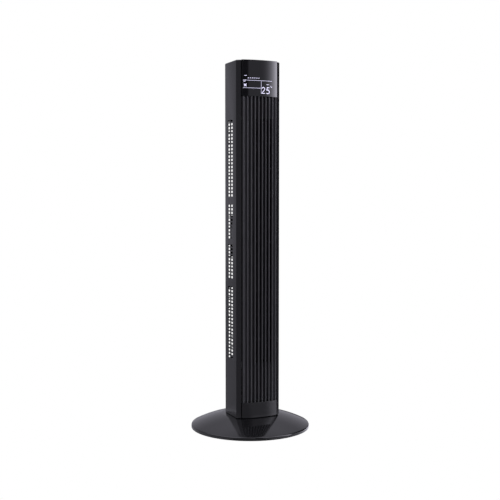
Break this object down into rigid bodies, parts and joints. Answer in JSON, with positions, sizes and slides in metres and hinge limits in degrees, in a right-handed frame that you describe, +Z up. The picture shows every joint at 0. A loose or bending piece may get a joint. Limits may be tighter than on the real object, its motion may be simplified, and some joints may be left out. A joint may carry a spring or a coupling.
{
  "type": "tower fan",
  "caption": "Slim swinging tower fan with a bowed ribbed front, side and rear air slots, a front display, top push keys, a rear carry recess and a round domed base.",
  "frame": {"origin": "on the floor under the centre of the round base, on the swing axis", "axes": "+Z up, the display and the ribbed front face -Y, +X to the right seen from the front"},
  "size_m": [0.3268, 0.3268, 1],
  "materials": {
    "base_gloss": "high-gloss moulded black",
    "base_underside": "plain moulded",
    "ballast_iron": "raw, lightly oiled",
    "rubber": "matt",
    "screw_steel": "zinc plated",
    "spindle_steel": "turned",
    "acetal_white": "moulded acetal",
    "housing_satin": "satin, fine moulded grain",
    "grille_satin": "satin",
    "panel_gloss": "high gloss",
    "lens_gloss": "polished smoked acrylic",
    "key_gloss": "semi-gloss, raised symbol",
    "board_green": "solder mask",
    "switch_black": "moulded",
    "display_light": "lit lavender-white",
    "duct_black": "matt moulded",
    "bronze": "sintered",
    "motor_steel": "zinc plated sheet",
    "core_steel": "laminated edge",
    "copper": "enamelled wire",
    "capacitor_grey": "moulded",
    "gland_black": "moulded",
    "wheel_grey": "moulded",
    "hub_aluminium": "die cast"
  },
  "bodies": {
    "base": {"base_cover": "base_gloss", "base_plate": "base_underside", "ballast_ring": "ballast_iron", "rubber_feet": "rubber", "base_screws": "screw_steel", "swivel_spindle": "spindle_steel", "spindle_screws": "screw_steel", "thrust_washer": "acetal_white", "swing_gear": "acetal_white", "spindle_circlip": "screw_steel"},
    "tower": {"tower_floor": "housing_satin", "swivel_bush": "acetal_white", "rear_housing": "housing_satin", "handle_cup": "housing_satin", "front_grille": "grille_satin", "display_lens": "lens_gloss", "lower_panel": "panel_gloss", "top_cap": "housing_satin", "control_board": "board_green", "key_switches": "switch_black", "light_mask": "display_light", "display_board": "board_green", "board_screws": "screw_steel", "air_scroll": "duct_black", "air_tongue": "duct_black", "lower_end_plate": "duct_black", "upper_end_plate": "duct_black", "bearing_rubber": "rubber", "upper_bearing": "bronze", "motor_can_lower": "motor_steel", "motor_can_upper": "motor_steel", "stator_core": "core_steel", "stator_windings": "copper", "motor_bushes": "bronze", "motor_grommets": "rubber", "motor_screws": "screw_steel", "run_capacitor": "capacitor_grey", "swing_motor": "motor_steel", "swing_motor_screws": "screw_steel", "housing_screws": "screw_steel", "cord_gland": "gland_black"},
    "rotor": {"motor_shaft": "spindle_steel", "motor_rotor": "core_steel", "wheel_hub": "hub_aluminium", "fan_wheel": "wheel_grey", "stub_shaft": "spindle_steel"},
    "swing_pinion": {"swing_pinion": "acetal_white"},
    "key_power": {"key_power": "key_gloss"},
    "key_speed": {"key_speed": "key_gloss"},
    "key_mode": {"key_mode": "key_gloss"},
    "key_timer": {"key_timer": "key_gloss"},
    "key_swing": {"key_swing": "key_gloss"}
  },
  "joints": [
    {"name": "swing", "type": "hinge", "parent": "base", "child": "tower", "pos_m": [0, 0, 0.04], "axis": [0, 0, 1], "range_deg": [-40, 40]},
    {"name": "wheel_spin", "type": "hinge", "parent": "tower", "child": "rotor", "pos_m": [0, -0.012, 0.5], "axis": [0, 0, 1], "continuous": true},
    {"name": "pinion_turn", "type": "hinge", "parent": "tower", "child": "swing_pinion", "pos_m": [0, 0.032, 0.0546], "axis": [0, 0, 1], "range_deg": [-125, 125]},
    {"name": "key_power_press", "type": "slide", "parent": "tower", "child": "key_power", "axis": [0, 0, -1], "range_m": [0, 0.001], "stiffness_N_per_m": 200},
    {"name": "key_speed_press", "type": "slide", "parent": "tower", "child": "key_speed", "axis": [0, 0, -1], "range_m": [0, 0.001], "stiffness_N_per_m": 200},
    {"name": "key_mode_press", "type": "slide", "parent": "tower", "child": "key_mode", "axis": [0, 0, -1], "range_m": [0, 0.001], "stiffness_N_per_m": 200},
    {"name": "key_timer_press", "type": "slide", "parent": "tower", "child": "key_timer", "axis": [0, 0, -1], "range_m": [0, 0.001], "stiffness_N_per_m": 200},
    {"name": "key_swing_press", "type": "slide", "parent": "tower", "child": "key_swing", "axis": [0, 0, -1], "range_m": [0, 0.001], "stiffness_N_per_m": 200}
  ],
  "couplings": [
    {"joint": "pinion_turn", "follows": "swing", "ratio": 3}
  ]
}
